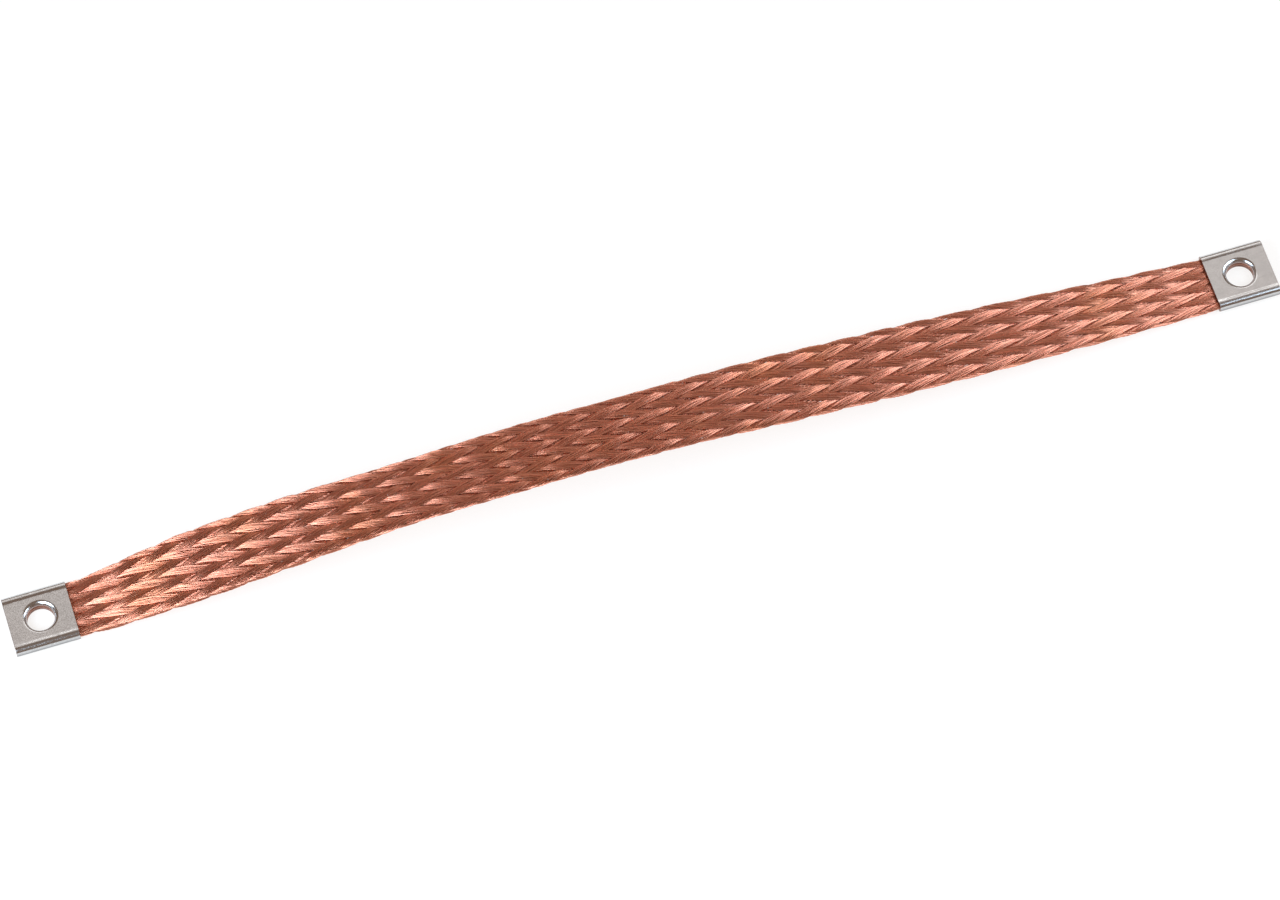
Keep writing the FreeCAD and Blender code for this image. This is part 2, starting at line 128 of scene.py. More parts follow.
def smooth_through(along, shares, values):
    """Values given at shares of the braid's length: a running mean of the straight lines through them."""
    fine = np.arange(-PAST_ENDS, braid_length + PAST_ENDS)
    plain = np.interp(fine / braid_length, shares, values)
    window = np.hanning(SMOOTHING_STEPS)
    smooth = np.convolve(plain, window / window.sum(), mode="same")
    return np.interp(along, fine, smooth)


# The girth of the tube is counted in crossings. Its front side lies at the edge crossing.
CROSSINGS = 32
EDGE_CROSSING = 2.5


def wall_point(along, crossing, out):
    """Point of the flattened tube's wall, whose section is two flats joined by half rounds.

    The crossing walks round the section from the front side over the top. Out is the distance from the
    middle of the wall. The section stands square to the middle line.
    """
    to_right = braid_length - along
    swell = ease(along / SWELL_LENGTH) * ease(to_right / SWELL_LENGTH)
    thickness = MOUTH_THICKNESS + (BRAID_THICKNESS - MOUTH_THICKNESS) * swell
    half = thickness / 2 - WAVE_HEIGHT - WIRE_RADIUS - DOME_HEIGHT
    flat = smooth_through(along, WIDTH_AT, WIDTHS) - SIDE_ROUNDS
    girth = 2 * flat + 2 * np.pi * half
    walked = np.mod((crossing - EDGE_CROSSING) / CROSSINGS, 1.0) * girth
    upper = walked <= girth / 2
    walked = np.where(upper, walked, girth - walked)
    quarter = np.pi * half / 2
    turn = np.clip(walked, 0, quarter) + np.clip(walked - quarter - flat, 0, quarter)
    angle = np.pi - turn / half
    across = np.clip(walked - quarter, 0, flat) - flat / 2
    reach = half + out
    y = across + reach * np.cos(angle)
    lift = np.where(upper, 1, -1) * reach * np.sin(angle)
    x, z, slope = middle_line(along)
    return np.stack([x - lift * np.sin(slope), y, z + lift * np.cos(slope)], axis=-1)


# The distance along the strap from one float to the next in line.
FLOAT_PITCH = 9.1
# How far the weave has slipped along and round the tube, in half pitches and crossings, by share of length.
SLIP_AT = [0.0, 0.06, 0.13, 0.19, 0.25, 0.32, 0.45, 0.57, 0.64, 0.70, 0.76, 0.83, 0.89, 1.0]
SLIP_ALONG = [1.55, 1.4, 1.15, 1.2, 1.25, 1.15, 1.0, 0.7, 0.5, 0.55, 0.45, -0.15, -0.4, -0.6]
SLIP_ROUND = [0.4, 0.4, 0.4, 0.6, 1.0, 1.2, 1.1, 0.9, 0.6, 0.6, 0.6, 0.8, 0.8, 0.8]
STRANDS_EACH_WAY = 16
WIRES = 8
# A higher squareness makes floats flatter on top and dives steeper.
SQUARENESS = 1.0
# Rings along a wire, sides round it, and how far its ends run on past the mouths.
RINGS = 300
SIDES = 5
TUCK = 1.2
# How the wires of a strand lie: the share of a wire's offset that shifts its dive, the strand's spread where
# it dives, the extra spread on a float, and the share of its height lost where it turns round a side.
WIRE_DELAY = 0.15
DIVE_SPREAD = 0.72
FLOAT_SPREAD = 0.27
DRAWN_IN = 0.45
# Unevenness of the weave: an amount, and the length of its shortest waves. Drifts are in crossings round the
# tube, the roll and the lifts are millimetres off its wall, and tints run from 0 to 1.
STRAND_DRIFT = (0.10, 24.0)
WIRE_DRIFT = (0.10, 7.0)
STRAND_ROLL = (0.03, 16.0)
STRAND_LIFT = (0.09, 11.0)
WIRE_LIFT = (0.05, 7.0)
TINT_DRIFT = (0.3, 12.0)
# The seed is fixed, so that each run draws the same wires.
rng = np.random.default_rng(11)


def wave(crossing):
    """Over and under: 1 in the middle of a float, -1 furthest under, once in four crossings."""
    return np.tanh(SQUARENESS * np.cos(np.pi / 2 * (crossing - 0.5))) / np.tanh(SQUARENESS)


def wander(shape, along, unevenness):
    """Unevenness along each wire: an amount times the mean of three cosines of random length and phase."""
    amount, shortest = unevenness
    total = 0
    for stretch in (1.0, 1.7, 2.9):
        phase = rng.uniform(0, 2 * np.pi, shape + (1,))
        length = shortest * stretch * rng.uniform(0.8, 1.25, shape + (1,))
        total = total + np.cos(2 * np.pi * along / length + phase) / 3
    return amount * total


def braid_wires(way, first, count):
    """Middle points of a group of strands' wires and the outward directions there.

    A strand climbs round the wall by one crossing in each half pitch, or falls. Its wires lie side by
    side, spread on top of a float and drawn together where it dives. They rise and dive one a little after
    the other, and lie flatter where the strand turns round a side.
    """
    along = np.linspace(-TUCK, braid_length + TUCK, RINGS)
    row = along / (FLOAT_PITCH / 2) + smooth_through(along, SLIP_AT, SLIP_ALONG)
    strand = np.arange(first, first + count)[:, None, None]
    wire = (np.arange(WIRES) - (WIRES - 1) / 2)[None, :, None]
    centre = way * row + 2 * strand
    place = wire * (2 / WIRES)
    over = way * wave(centre + WIRE_DELAY * place)
    spread = DIVE_SPREAD + FLOAT_SPREAD * over ** 2
    strand_drift = wander((count, 1), along, STRAND_DRIFT)
    wire_drift = wander((count, WIRES), along, WIRE_DRIFT)
    offset = place * spread + strand_drift + wire_drift
    dome = DOME_HEIGHT * (1 - (2 * wire / WIRES) ** 2) * np.maximum(over, 0)
    roll = wire / WIRES * wander((count, 1), along, STRAND_ROLL)
    lift = wander((count, 1), along, STRAND_LIFT) + wander((count, WIRES), along, WIRE_LIFT)
    crossing = centre + offset - smooth_through(along, SLIP_AT, SLIP_ROUND)
    to_edge = np.mod(crossing - EDGE_CROSSING + CROSSINGS / 4, CROSSINGS / 2) - CROSSINGS / 4
    drawn_in = 1 - DRAWN_IN * np.exp(-to_edge ** 2)
    out = (WAVE_HEIGHT * over + dome) * drawn_in + roll + lift
    along = np.broadcast_to(along, crossing.shape)
    middle = wall_point(along, crossing, out)
    outward = wall_point(along, crossing, out + 1) - middle
    return middle, outward


def unit(vectors):
    """Vectors divided by their own length."""
    return vectors / np.linalg.norm(vectors, axis=-1, keepdims=True)


def mesh_piece(name, points, quads, caps):
    """A mesh object at the origin from points in millimetres, four-sided faces and end faces."""
    mesh = bpy.data.meshes.new(name)
    corners = np.concatenate([quads.ravel(), caps.ravel()]).astype(np.int32)
    starts = np.concatenate([
        np.arange(len(quads)) * quads.shape[1],
        quads.size + np.arange(len(caps)) * caps.shape[1],
    ]).astype(np.int32)
    mesh.vertices.add(len(points))
    mesh.vertices.foreach_set("co", (points * MM).astype(np.float32).ravel())
    mesh.loops.add(len(corners))
    mesh.loops.foreach_set("vertex_index", corners)
    mesh.polygons.add(len(starts))
    mesh.polygons.foreach_set("loop_start", starts)
    mesh.update(calc_edges=True)
    mesh.shade_smooth()
    piece = bpy.data.objects.new(name, mesh)
    bpy.context.scene.collection.objects.link(piece)
    return piece


def wire_piece(name, middle, outward):
    """Round wires: each ring is a middle point plus the radius times cos and sin, square to the path."""
    path = unit(np.gradient(middle, axis=-2))
    side = unit(np.cross(outward, path))
    up = np.cross(path, side)
    turn = 2 * np.pi * np.arange(SIDES) / SIDES
    ring = np.cos(turn)[:, None] * up[..., None, :] + np.sin(turn)[:, None] * side[..., None, :]
    points = middle[..., None, :] + WIRE_RADIUS * ring
    wires = middle.shape[0] * middle.shape[1]
    number = np.arange(wires * RINGS * SIDES).reshape(wires, RINGS, SIDES)
    beside = np.roll(number, -1, axis=-1)
    quads = np.stack([number[:, :-1], number[:, 1:], beside[:, 1:], beside[:, :-1]], axis=-1)
    caps = np.concatenate([number[:, 0, :], number[:, -1, ::-1]])
    piece = mesh_piece(name, points.reshape(-1, 3), quads.reshape(-1, 4), caps)
    along = np.linspace(0, braid_length, RINGS)
    tint = rng.uniform(0.15, 0.85, (wires, 1)) + wander((wires,), along, TINT_DRIFT)
    tint = np.repeat(np.clip(tint, 0, 1).ravel(), SIDES).astype(np.float32)
    piece.data.attributes.new("tint", "FLOAT", "POINT").data.foreach_set("value", tint)
    return piece


def group_with(name, inputs, outputs):
    """An empty shader node group with named sockets, and its two end nodes."""
    group = bpy.data.node_groups.new(name, "ShaderNodeTree")
    for label, kind in inputs:
        group.interface.new_socket(label, in_out="INPUT", socket_type=kind)
    for label, kind in outputs:
        group.interface.new_socket(label, in_out="OUTPUT", socket_type=kind)
    return group, group.nodes.new("NodeGroupInput"), group.nodes.new("NodeGroupOutput")


def noise(tree, place, scale, detail):
    """A noise texture of about one feature per 1/scale metres."""
    node = tree.nodes.new("ShaderNodeTexNoise")
    node.inputs["Scale"].default_value = scale
    node.inputs["Detail"].default_value = detail
    tree.links.new(place, node.inputs["Vector"])
    return node.outputs[0]


def remap(tree, value, low, high, new_low, new_high):
    """A value from one range carried straight over to another, and held inside it."""
    node = tree.nodes.new("ShaderNodeMapRange")
    tree.links.new(value, node.inputs["Value"])
    for label, number in (("From Min", low), ("From Max", high), ("To Min", new_low), ("To Max", new_high)):
        node.inputs[label].default_value = number
    return node.outputs[0]


def math_node(tree, operation, first, second):
    """One step of arithmetic on two sockets or numbers."""
    node = tree.nodes.new("ShaderNodeMath")
    node.operation = operation
    for socket, source in zip(node.inputs, (first, second)):
        if isinstance(source, (int, float)):
            socket.default_value = source
        else:
            tree.links.new(source, socket)
    return node.outputs[0]


def blend(tree, share, first, second):
    """Colours mixed by a share. Each is a socket or a fixed colour."""
    node = tree.nodes.new("ShaderNodeMix")
    node.data_type = "RGBA"
    tree.links.new(share, node.inputs[0])
    for socket, source in ((node.inputs[6], first), (node.inputs[7], second)):
        if isinstance(source, tuple):
            socket.default_value = source
        else:
            tree.links.new(source, socket)
    return node.outputs[2]


# Copper turns from pink to orange in wide patches. Wires of a low tint are browner and duller.
PINK_COPPER = (0.90, 0.41, 0.285, 1)
ORANGE_COPPER = (0.92, 0.41, 0.21, 1)
BROWN_COPPER = (0.50, 0.17, 0.095, 1)
copper_finish, finish_in, finish_out = group_with(
    "bare_copper_finish",
    [("Place", "NodeSocketVector"), ("Tint", "NodeSocketFloat")],
    [("Colour", "NodeSocketColor"), ("Roughness", "NodeSocketFloat")],
)
patches = noise(copper_finish, finish_in.outputs["Place"], 75.0, 2.0)
tarnish = remap(copper_finish, patches, 0.52, 0.70, 0.0, 0.45)
mottled_copper = blend(copper_finish, tarnish, PINK_COPPER, ORANGE_COPPER)
browned = remap(copper_finish, finish_in.outputs["Tint"], 0.0, 0.7, 0.75, 0.0)
copper_finish.links.new(
    blend(copper_finish, browned, mottled_copper, BROWN_COPPER), finish_out.inputs["Colour"])
copper_finish.links.new(
    remap(copper_finish, finish_in.outputs["Tint"], 0.0, 1.0, 0.34, 0.19), finish_out.inputs["Roughness"])


def finished(name, finish, sockets):
    """A metal material with a finish group in front of its shader."""
    metal = bpy.data.materials.new(name)
    metal.use_nodes = True
    tree = metal.node_tree
    shader = tree.nodes["Principled BSDF"]
    shader.inputs["Metallic"].default_value = 1.0
    place = tree.nodes.new("ShaderNodeTexCoord")
    group = tree.nodes.new("ShaderNodeGroup")
    group.node_tree = finish
    tree.links.new(place.outputs["Object"], group.inputs["Place"])
    for label, value in sockets.items():
        group.inputs[label].default_value = value
    tree.links.new(group.outputs["Colour"], shader.inputs["Base Color"])
    tree.links.new(group.outputs["Roughness"], shader.inputs["Roughness"])
    return metal, group


copper, copper_group = finished("bare_copper_wire", copper_finish, {})
wire_tint = copper.node_tree.nodes.new("ShaderNodeAttribute")
wire_tint.attribute_name = "tint"
copper.node_tree.links.new(wire_tint.outputs["Fac"], copper_group.inputs["Tint"])

HALF = STRANDS_EACH_WAY // 2
for way, lay in ((1, "rising"), (-1, "falling")):
    for part in (0, 1):
        wires = wire_piece(f"braid_{lay}_{part + 1}", *braid_wires(way, part * HALF, HALF))
        wires.data.materials.append(copper)
        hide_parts("copper_braid")
        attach(wires, "root")

# Ferrules
# Each end of the braid is pushed into a short tinned copper tube, and the two are pressed flat together.
# The bolt hole is then punched, which draws the top wall down into the hole as a rounded lip.
# The press leaves a low bead along both rolled sides and ring marks of its die round the hole.
HOLE_AT = {"left": -150.0, "right": 150.0}
SLEEVE_HALF = 7.75
SLEEVE_REACH = (SLEEVE_HALF, SLEEVE_HALF)
SLEEVE_WALL = 0.6
LAND_LEVEL = 3.0
LAND_HALF = 5.45
BEAD_LEVEL = 3.12
BOLT_RADIUS = 3.3
LIP_RADIUS = 1.1
LIP_FOOT = 1.8
BROKEN_EDGE = 0.15
SLOT_FLOOR = 0.6
SLOT_CEILING = 2.4
BEVEL = 0.1
# Rings of points by the hole: above the lip's foot, up the wall of the lower hole, and out from its edge.
FOOT_RING = 0.1
WALL_RING = 0.4
RIM_RING = 0.2
# Steps of the grids along each side of the rim, round the lip, and from the hole out to the rim.
STEPS_A_SIDE = 48
LIP_STEPS = 14
TOP_STEPS = 60
FLOOR_STEPS = 40
INNER_STEPS = 20
CORE_STEPS = 16
# Points closer than this are one, and edges shorter than this are none, in metres.
MERGE_DISTANCE = 2e-7
SHORTEST_EDGE = 1e-7


def rim_square():
    """A walk round the square from -1 to 1, in equal steps from one corner to the next."""
    step = np.linspace(-1, 1, STEPS_A_SIDE, endpoint=False)
    one = np.ones_like(step)
    along = np.concatenate([one, -step, -one, step])
    across = np.concatenate([step, one, -step, -one])
    return along, across


def pressed_sheet(hole_radius, hole_level, plate, roll, steps, reach, half_flat, corner):
    """One wall of the pressed tube on a grid: round the hole, and from its edge out to the wall's rim.

    The first columns are the profile of the hole's edge, a radius and a level at each point. The rest go
    straight from the hole to the rim in the unrolled sheet. Past the flat the sheet rolls round by a
    quarter turn of the radius given, and the plate's level is a function of the distance from the middle.
    Reach is the length to the left and right cut ends. The far right corner is rounded off.
    """
    along, across = rim_square()
    turn = np.arctan2(across, along)[:, None]
    share = np.linspace(0, 1, steps)[None, 1:]
    edge = hole_radius[-1]
    unrolled = half_flat + abs(roll) * np.pi / 2
    length = np.where(along < 0, reach[0], reach[1])[:, None]
    x = edge * np.cos(turn) * (1 - share) + length * along[:, None] * share
    w = edge * np.sin(turn) * (1 - share) + unrolled * across[:, None] * share
    past = np.maximum(np.abs(w) - half_flat, 0)
    angle = past / abs(roll)
    y = np.sign(w) * (np.minimum(np.abs(w), half_flat) + abs(roll) * np.sin(angle))
    z = plate(np.minimum(np.abs(w), half_flat)) - roll * (1 - np.cos(angle))
    x = x - corner * np.clip((y - half_flat) / abs(roll), 0, 1) ** 3 * np.clip(x / length, 0, 1) ** 9
    hole_x = hole_radius[None, :] * np.cos(turn)
    hole_y = hole_radius[None, :] * np.sin(turn)
    hole_z = np.broadcast_to(hole_level, hole_x.shape)
    return np.stack([
        np.concatenate([hole_x, x], axis=1),
        np.concatenate([hole_y, y], axis=1),
        np.concatenate([hole_z, z], axis=1),
    ], axis=-1)


def closed_shell(name, sheets, joints, middle):
    """Grids of points as one closed mesh: faces of each grid, and strips that join the rims of two grids.

    Strips run round the hole and along the cut ends. Doubled points are merged and faces turned outwards.
    """
    points = []
    faces = []
    numbers = []
    first = 0
    for sheet in sheets:
        rows, columns = sheet.shape[:2]
        number = first + np.arange(rows * columns).reshape(rows, columns)
        beside = np.roll(number, -1, axis=0)
        faces.append(np.stack(
            [number[:, :-1], number[:, 1:], beside[:, 1:], beside[:, :-1]], axis=-1).reshape(-1, 4))
        points.append(sheet.reshape(-1, 3))
        numbers.append(number)
        first += rows * columns
    ends = np.r_[0:STEPS_A_SIDE, 2 * STEPS_A_SIDE:3 * STEPS_A_SIDE]
    for one, other in joints:
        for column, rows in ((0, slice(None)), (-1, ends)):
            here = numbers[one][:, column]
            there = numbers[other][:, column]
            strip = np.stack([here, np.roll(here, -1), np.roll(there, -1), there], axis=-1)
            faces.append(strip[rows])
    whole = np.concatenate(points) + np.array([middle, 0, 0])
    piece = mesh_piece(name, whole, np.concatenate(faces), np.empty((0, 3)))
    work = bmesh.new()
    work.from_mesh(piece.data)
    bmesh.ops.remove_doubles(work, verts=work.verts, dist=MERGE_DISTANCE)
    bmesh.ops.dissolve_degenerate(work, edges=work.edges, dist=SHORTEST_EDGE)
    bmesh.ops.recalc_face_normals(work, faces=work.faces)
    work.to_mesh(piece.data)
    work.free()
    piece.data.shade_smooth()
    return piece


def land_and_bead(distance):
    """Level of the top: the pressed land, rising to the bead with a smooth step."""
    return LAND_LEVEL + (BEAD_LEVEL - LAND_LEVEL) * ease((distance - LAND_HALF) / (outer_flat - LAND_HALF))


def level_plate(level):
    """A plate that is level all over, for pressed_sheet."""
    return lambda distance: np.full_like(distance, level)


OUTER_ROLL = BEAD_LEVEL / 2
outer_flat = SLEEVE_HALF - OUTER_ROLL
INNER_ROLL = (SLOT_CEILING - SLOT_FLOOR) / 2
inner_flat = SLEEVE_HALF - SLEEVE_WALL - INNER_ROLL
lip_turn = np.linspace(np.pi, np.pi / 2, LIP_STEPS)
lip_radius = np.append(BOLT_RADIUS, BOLT_RADIUS + LIP_RADIUS + LIP_RADIUS * np.cos(lip_turn))
lip_level = np.append(LIP_FOOT, LAND_LEVEL - LIP_RADIUS + LIP_RADIUS * np.sin(lip_turn))
lip_back = BOLT_RADIUS + SLEEVE_WALL
lip_root = BOLT_RADIUS + LIP_RADIUS


def sleeve(name, middle, corner):
    """The four walls of a pressed tube, joined at the lip, the hole, the rolled sides and the cut ends."""
    outer_top = pressed_sheet(
        lip_radius, lip_level, land_and_bead, OUTER_ROLL, TOP_STEPS, SLEEVE_REACH, outer_flat, corner)
    inner_top = pressed_sheet(
        np.array([lip_back, lip_back, lip_root]),
        np.array([LIP_FOOT, LIP_FOOT + FOOT_RING, SLOT_CEILING]),
        level_plate(SLOT_CEILING), INNER_ROLL, INNER_STEPS, SLEEVE_REACH, inner_flat, corner)
    outer_floor = pressed_sheet(
        np.array([BOLT_RADIUS, BOLT_RADIUS, BOLT_RADIUS + BROKEN_EDGE]),
        np.array([WALL_RING, BROKEN_EDGE, 0.0]),
        level_plate(0.0), -OUTER_ROLL, FLOOR_STEPS, SLEEVE_REACH, outer_flat, corner)
    inner_floor = pressed_sheet(
        np.array([BOLT_RADIUS, BOLT_RADIUS + RIM_RING]),
        np.array([SLOT_FLOOR, SLOT_FLOOR]),
        level_plate(SLOT_FLOOR), -INNER_ROLL, INNER_STEPS, SLEEVE_REACH, inner_flat, corner)
    sheets = [outer_top, inner_top, outer_floor, inner_floor]
    return closed_shell(name, sheets, [(0, 1), (2, 3)], middle)


CORE_TOP = 2.36
CORE_FLOOR = 0.64
CORE_HALF = 7.0
CORE_HOLE = 3.32
CORE_SUNK = 1.74
LIP_CLEARANCE = 0.1
# How far the core reaches from the hole, towards the open end of its tube and towards the mouth.
AT_OPEN_END = SLEEVE_HALF - 0.3
AT_MOUTH = SLEEVE_HALF - 1.0


def core(name, middle, reach):
    """The pressed end of the braid inside the tube: a slab, sunk round the hole to clear the lip."""
    roll = (CORE_TOP - CORE_FLOOR) / 2
    flat = CORE_HALF - roll
    top = pressed_sheet(
        np.array([CORE_HOLE, lip_back + LIP_CLEARANCE / 2, lip_root + LIP_CLEARANCE]),
        np.array([CORE_SUNK, CORE_SUNK, CORE_TOP - LIP_CLEARANCE]),
        level_plate(CORE_TOP), roll, CORE_STEPS, reach, flat, corner=0.0)
    floor_sheet = pressed_sheet(
        np.array([CORE_HOLE, CORE_HOLE + RIM_RING]),
        np.array([CORE_FLOOR, CORE_FLOOR]),
        level_plate(CORE_FLOOR), -roll, CORE_STEPS, reach, flat, corner=0.0)
    return closed_shell(name, [top, floor_sheet], [(0, 1)], middle)


tin_finish, finish_in, finish_out = group_with(
    "pressed_tin_finish",
    [("Place", "NodeSocketVector"), ("Mottle", "NodeSocketFloat"), ("Rings", "NodeSocketFloat")],
    [("Colour", "NodeSocketColor"), ("Roughness", "NodeSocketFloat"), ("Height", "NodeSocketFloat")],
)
place = finish_in.outputs["Place"]
BLOTCH_SHARE = 0.35
speckle = math_node(tin_finish, "SUBTRACT", noise(tin_finish, place, 3600.0, 2.0), 0.5)
speckle = math_node(tin_finish, "MULTIPLY", speckle, finish_in.outputs["Mottle"])
blotch = math_node(tin_finish, "SUBTRACT", noise(tin_finish, place, 420.0, 2.0), 0.5)
grey = math_node(tin_finish, "ADD", speckle, math_node(tin_finish, "MULTIPLY", blotch, BLOTCH_SHARE))
DULL_TIN = (0.52, 0.525, 0.53, 1)
BRIGHT_TIN = (0.84, 0.85, 0.86, 1)
CUT_COPPER = (0.26, 0.15, 0.12, 1)
# Painted shade: the dark grey laid over the lower rolled sides and the underside of each sleeve.
PAINTED_SHADE_TIN = (0.17, 0.17, 0.17, 1)
tinned = blend(tin_finish, remap(tin_finish, grey, -0.4, 0.4, 0.0, 1.0), DULL_TIN, BRIGHT_TIN)
tin_finish.links.new(remap(tin_finish, grey, -0.3, 0.3, 0.26, 0.15), finish_out.inputs["Roughness"])
flat_place = tin_finish.nodes.new("ShaderNodeVectorMath")
flat_place.operation = "MULTIPLY"
flat_place.inputs[1].default_value = (1, 1, 0)
tin_finish.links.new(place, flat_place.inputs[0])
from_hole = tin_finish.nodes.new("ShaderNodeVectorMath")
from_hole.operation = "LENGTH"
tin_finish.links.new(flat_place.outputs[0], from_hole.inputs[0])
# Painted shade, standing in for a dark reflection, darkens the rolled sides low down. Bare metal shows where
# the sheet was cut: in the punched hole below its lip and at the tube's ends.
BARE_ROUND_HOLE = 0.3
BARE_AT_ENDS = 0.04
apart = tin_finish.nodes.new("ShaderNodeSeparateXYZ")
tin_finish.links.new(place, apart.inputs[0])
# Painted shade: full below 1.5 mm up the sleeve, and fading out by 2.4 mm.
painted_shade = remap(tin_finish, apart.outputs["Z"], 1.5 * MM, 2.4 * MM, 0.75, 0.0)
tinned = blend(tin_finish, painted_shade, tinned, PAINTED_SHADE_TIN)
in_hole = math_node(
    tin_finish, "LESS_THAN", from_hole.outputs["Value"], (BOLT_RADIUS + BARE_ROUND_HOLE) * MM)
below_lip = remap(tin_finish, apart.outputs["Z"], 2.0 * MM, 2.5 * MM, 1.0, 0.0)
punched = math_node(tin_finish, "MULTIPLY", in_hole, below_lip)
from_middle = math_node(tin_finish, "ABSOLUTE", apart.outputs["X"], 0)
sawn = math_node(tin_finish, "GREATER_THAN", from_middle, (SLEEVE_HALF - BARE_AT_ENDS) * MM)
cut = math_node(tin_finish, "MAXIMUM", punched, sawn)
tin_finish.links.new(blend(tin_finish, cut, tinned, CUT_COPPER), finish_out.inputs["Colour"])
# The die's ring mark is a ridge with a bell-shaped section, broken where the die did not bite.
DIE_RING = 6.7 * MM
RING_WIDTH = 0.16 * MM
GRAIN_HEIGHT = 0.6
off_ring = math_node(tin_finish, "SUBTRACT", from_hole.outputs["Value"], DIE_RING)
off_ring = math_node(tin_finish, "DIVIDE", off_ring, RING_WIDTH)
ring = math_node(tin_finish, "MULTIPLY", off_ring, off_ring)
ring = math_node(tin_finish, "POWER", math.e, math_node(tin_finish, "MULTIPLY", ring, -1.0))
bitten = remap(tin_finish, noise(tin_finish, place, 130.0, 0.0), 0.45, 0.55, 0.0, 1.0)
ring = math_node(tin_finish, "MULTIPLY", ring, bitten)
ring = math_node(tin_finish, "MULTIPLY", ring, finish_in.outputs["Rings"])
grain = math_node(tin_finish, "MULTIPLY", grey, GRAIN_HEIGHT)
tin_finish.links.new(math_node(tin_finish, "ADD", grain, ring), finish_out.inputs["Height"])

PRESSED_COPPER = (0.34, 0.15, 0.10, 1)
core_copper = bpy.data.materials.new("pressed_copper")
core_copper.use_nodes = True
core_shader = core_copper.node_tree.nodes["Principled BSDF"]
core_shader.inputs["Metallic"].default_value = 1.0
core_shader.inputs["Base Color"].default_value = PRESSED_COPPER
core_shader.inputs["Roughness"].default_value = 0.35
ENDS = {
    "left": {"Mottle": 1.3, "Rings": 0.5, "corner": 0.0, "reach": (AT_OPEN_END, AT_MOUTH)},
    "right": {"Mottle": 0.45, "Rings": 0.3, "corner": 0.9, "reach": (AT_MOUTH, AT_OPEN_END)},
}
for side, end in ENDS.items():
    tin, tin_group = finished(
        f"pressed_tin_{side}", tin_finish, {"Mottle": end["Mottle"], "Rings": end["Rings"]})
    tree = tin.node_tree
    centred = tree.nodes.new("ShaderNodeMapping")
    centred.inputs["Location"].default_value = (-HOLE_AT[side] * MM, 0, 0)
    tree.links.new(tree.nodes["Texture Coordinate"].outputs["Object"], centred.inputs["Vector"])
    tree.links.new(centred.outputs[0], tin_group.inputs["Place"])
    bump = tree.nodes.new("ShaderNodeBump")
    bump.inputs["Strength"].default_value = 0.5
    bump.inputs["Distance"].default_value = 0.03 * MM
    tree.links.new(tin_group.outputs["Height"], bump.inputs["Height"])
    tree.links.new(bump.outputs[0], tree.nodes["Principled BSDF"].inputs["Normal"])
    shell = sleeve(f"{side}_sleeve", HOLE_AT[side], end["corner"])
    broken = shell.modifiers.new("broken_edges", "BEVEL")
    broken.width = BEVEL * MM
    broken.segments = 2
    broken.limit_method = "ANGLE"
    broken.angle_limit = math.radians(40)
    shell.data.materials.append(tin)
    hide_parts(f"{side}_ferrule")
    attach(shell, "root")
    slab = core(f"{side}_core", HOLE_AT[side], end["reach"])
    slab.data.materials.append(core_copper)
    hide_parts("copper_braid")
    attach(slab, "root")

# Stage
# A white table under the strap, in a dim room with a white horizon. Soft lamps stand to the left and right,
# with a gap between them on the camera's side, and a faint panel and strip stand at the back.
# Where it is seen, the table glows, so that it comes out white and keeps a faint shadow. The glow is slightly
# warm to even out the cool lamps.
BELOW_STRAP = 0.05 * MM
FLOOR_HALF = 20
floor_mesh = bpy.data.meshes.new("floor")
floor_mesh.from_pydata([
    (-FLOOR_HALF, -FLOOR_HALF, 0),
    (FLOOR_HALF, -FLOOR_HALF, 0),
    (FLOOR_HALF, FLOOR_HALF, 0),
    (-FLOOR_HALF, FLOOR_HALF, 0),
], [], [(0, 1, 2, 3)])
floor = bpy.data.objects.new("floor", floor_mesh)
floor.location.z = -BELOW_STRAP
bpy.context.scene.collection.objects.link(floor)
white = bpy.data.materials.new("white_table")
white.use_nodes = True
floor_mesh.materials.append(white)
nodes = white.node_tree.nodes
links = white.node_tree.links
nodes.clear()
table = nodes.new("ShaderNodeBsdfDiffuse")
table.inputs["Color"].default_value = (0.8, 0.8, 0.8, 1)
shaded = nodes.new("ShaderNodeBsdfDiffuse")
shaded.inputs["Color"].default_value = (0.25, 0.25, 0.25, 1)
glow = nodes.new("ShaderNodeEmission")
glow.inputs["Color"].default_value = (1, 0.98, 0.96, 1)
glow.inputs["Strength"].default_value = 0.81
seen_table = nodes.new("ShaderNodeAddShader")
links.new(shaded.outputs[0], seen_table.inputs[0])
links.new(glow.outputs[0], seen_table.inputs[1])
ray = nodes.new("ShaderNodeLightPath").outputs
seen = math_node(white.node_tree, "MAXIMUM", ray["Is Camera Ray"], ray["Is Glossy Ray"])
seen = math_node(white.node_tree, "MAXIMUM", seen, ray["Is Transmission Ray"])
mix = nodes.new("ShaderNodeMixShader")
links.new(seen, mix.inputs["Fac"])
links.new(table.outputs[0], mix.inputs[1])
links.new(seen_table.outputs[0], mix.inputs[2])
output = nodes.new("ShaderNodeOutputMaterial")
links.new(mix.outputs[0], output.inputs["Surface"])

world = bpy.data.worlds.new("room")
bpy.context.scene.world = world
world.use_nodes = True
nodes = world.node_tree.nodes
links = world.node_tree.links
direction = nodes.new("ShaderNodeTexCoord")
height = nodes.new("ShaderNodeSeparateXYZ")
links.new(direction.outputs["Generated"], height.inputs[0])
room_ramp = nodes.new("ShaderNodeValToRGB")
links.new(height.outputs["Z"], room_ramp.inputs[0])
room_ramp.color_ramp.elements[0].position = 0.04
room_ramp.color_ramp.elements[0].color = (1, 1, 1, 1)
room_ramp.color_ramp.elements[1].position = 0.14
room_ramp.color_ramp.elements[1].color = (0.195, 0.127, 0.088, 1)
links.new(room_ramp.outputs[0], nodes["Background"].inputs["Color"])

LAMP_DISTANCE = 0.55
COOL = (0.85, 1.05, 1.23)
PLAIN = (1, 1, 1)


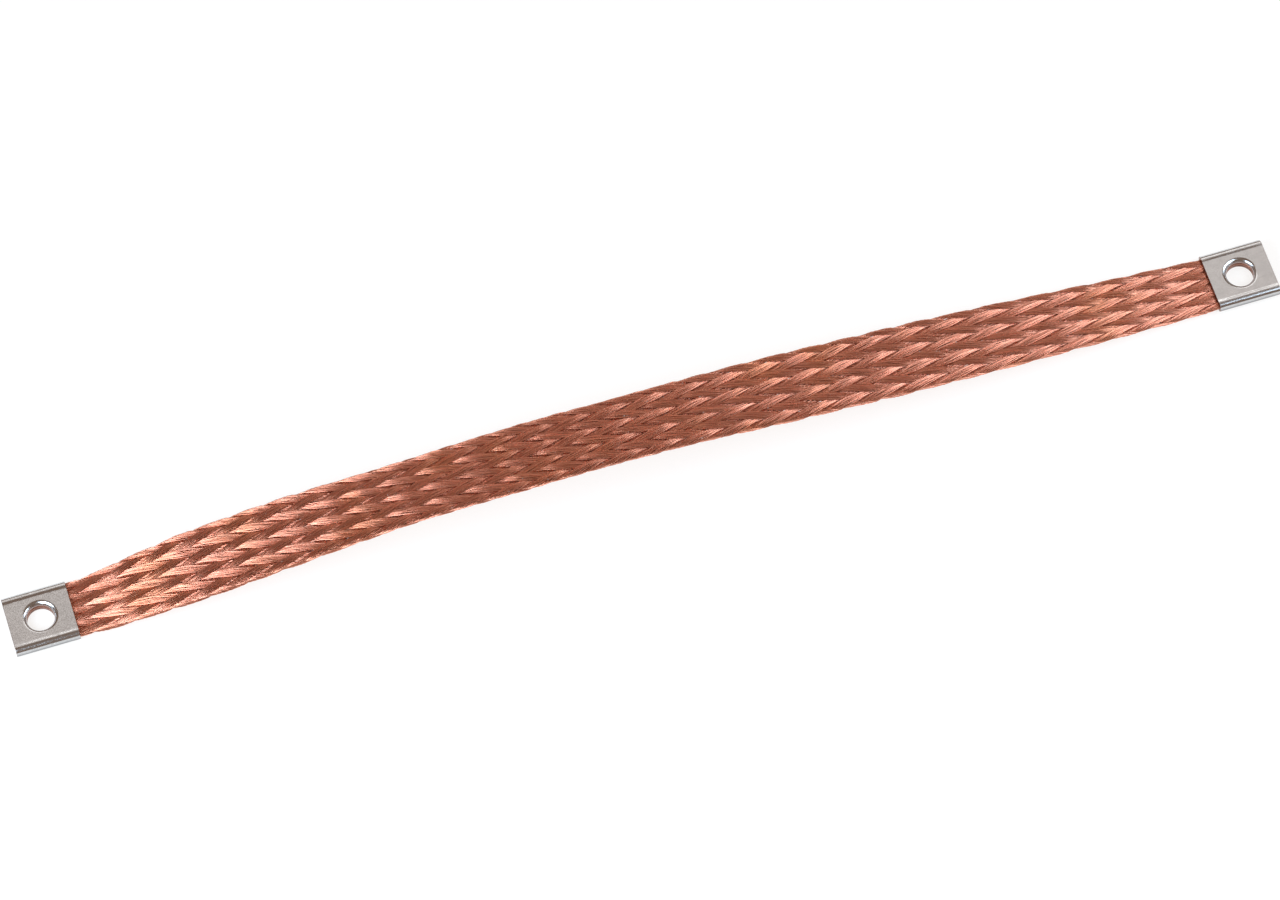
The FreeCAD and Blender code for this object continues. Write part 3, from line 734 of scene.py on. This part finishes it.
def softbox(name, azimuth, elevation, width, height, radiance, colour):
    """A rectangular lamp that faces the strap.

    The azimuth turns from the back to the right, and width and height are angles, all in degrees.
    """
    turn = math.radians(azimuth)
    rise = math.radians(elevation)
    lamp = bpy.data.lights.new(name, "AREA")
    lamp.shape = "RECTANGLE"
    lamp.size = 2 * LAMP_DISTANCE * math.tan(math.radians(width) / 2)
    lamp.size_y = 2 * LAMP_DISTANCE * math.tan(math.radians(height) / 2)
    lamp.energy = radiance * lamp.size * lamp.size_y * math.pi
    lamp.color = colour
    holder = bpy.data.objects.new(name, lamp)
    holder.location = LAMP_DISTANCE * Vector((
        math.sin(turn) * math.cos(rise), math.cos(turn) * math.cos(rise), math.sin(rise),
    ))
    holder.rotation_mode = "QUATERNION"
    holder.rotation_quaternion = (-holder.location).to_track_quat("-Z", "Y")
    bpy.context.scene.collection.objects.link(holder)


softbox("left_lamp", 246, 38, 46, 30, 6.4, COOL)
softbox("right_lamp", 105, 38, 46, 30, 3.3, COOL)
softbox("back_panel", 12, 48, 56, 46, 0.55, PLAIN)
softbox("back_strip", 14, 44, 50, 6, 1.4, PLAIN)

# Camera
# It looks down on the strap from its left front.
AZIMUTH = math.radians(-15.229)
ELEVATION = math.radians(62.105)
ROLL = math.radians(-2.461)
DISTANCE = 1.39074
TARGET = Vector((-0.00289, -0.00294, 0.006))
PIXELS_WIDE = 1280
FOCAL_PIXELS = 5849.36
toward = Vector((
    math.sin(AZIMUTH) * math.cos(ELEVATION),
    -math.cos(AZIMUTH) * math.cos(ELEVATION),
    math.sin(ELEVATION),
))
level = Vector((math.cos(AZIMUTH), math.sin(AZIMUTH), 0))
above = toward.cross(level)
right = level * math.cos(ROLL) + above * math.sin(ROLL)
up = above * math.cos(ROLL) - level * math.sin(ROLL)
lens = bpy.data.cameras.new("camera")
lens.sensor_width = 36
lens.lens = FOCAL_PIXELS / PIXELS_WIDE * lens.sensor_width
lens.clip_start = 0.05
lens.clip_end = 20
camera = bpy.data.objects.new("camera", lens)
turned = Matrix((right, up, toward)).transposed().to_4x4()
camera.matrix_world = Matrix.Translation(TARGET + toward * DISTANCE) @ turned
bpy.context.scene.collection.objects.link(camera)
bpy.context.scene.camera = camera
bpy.context.scene.view_settings.view_transform = "Standard"
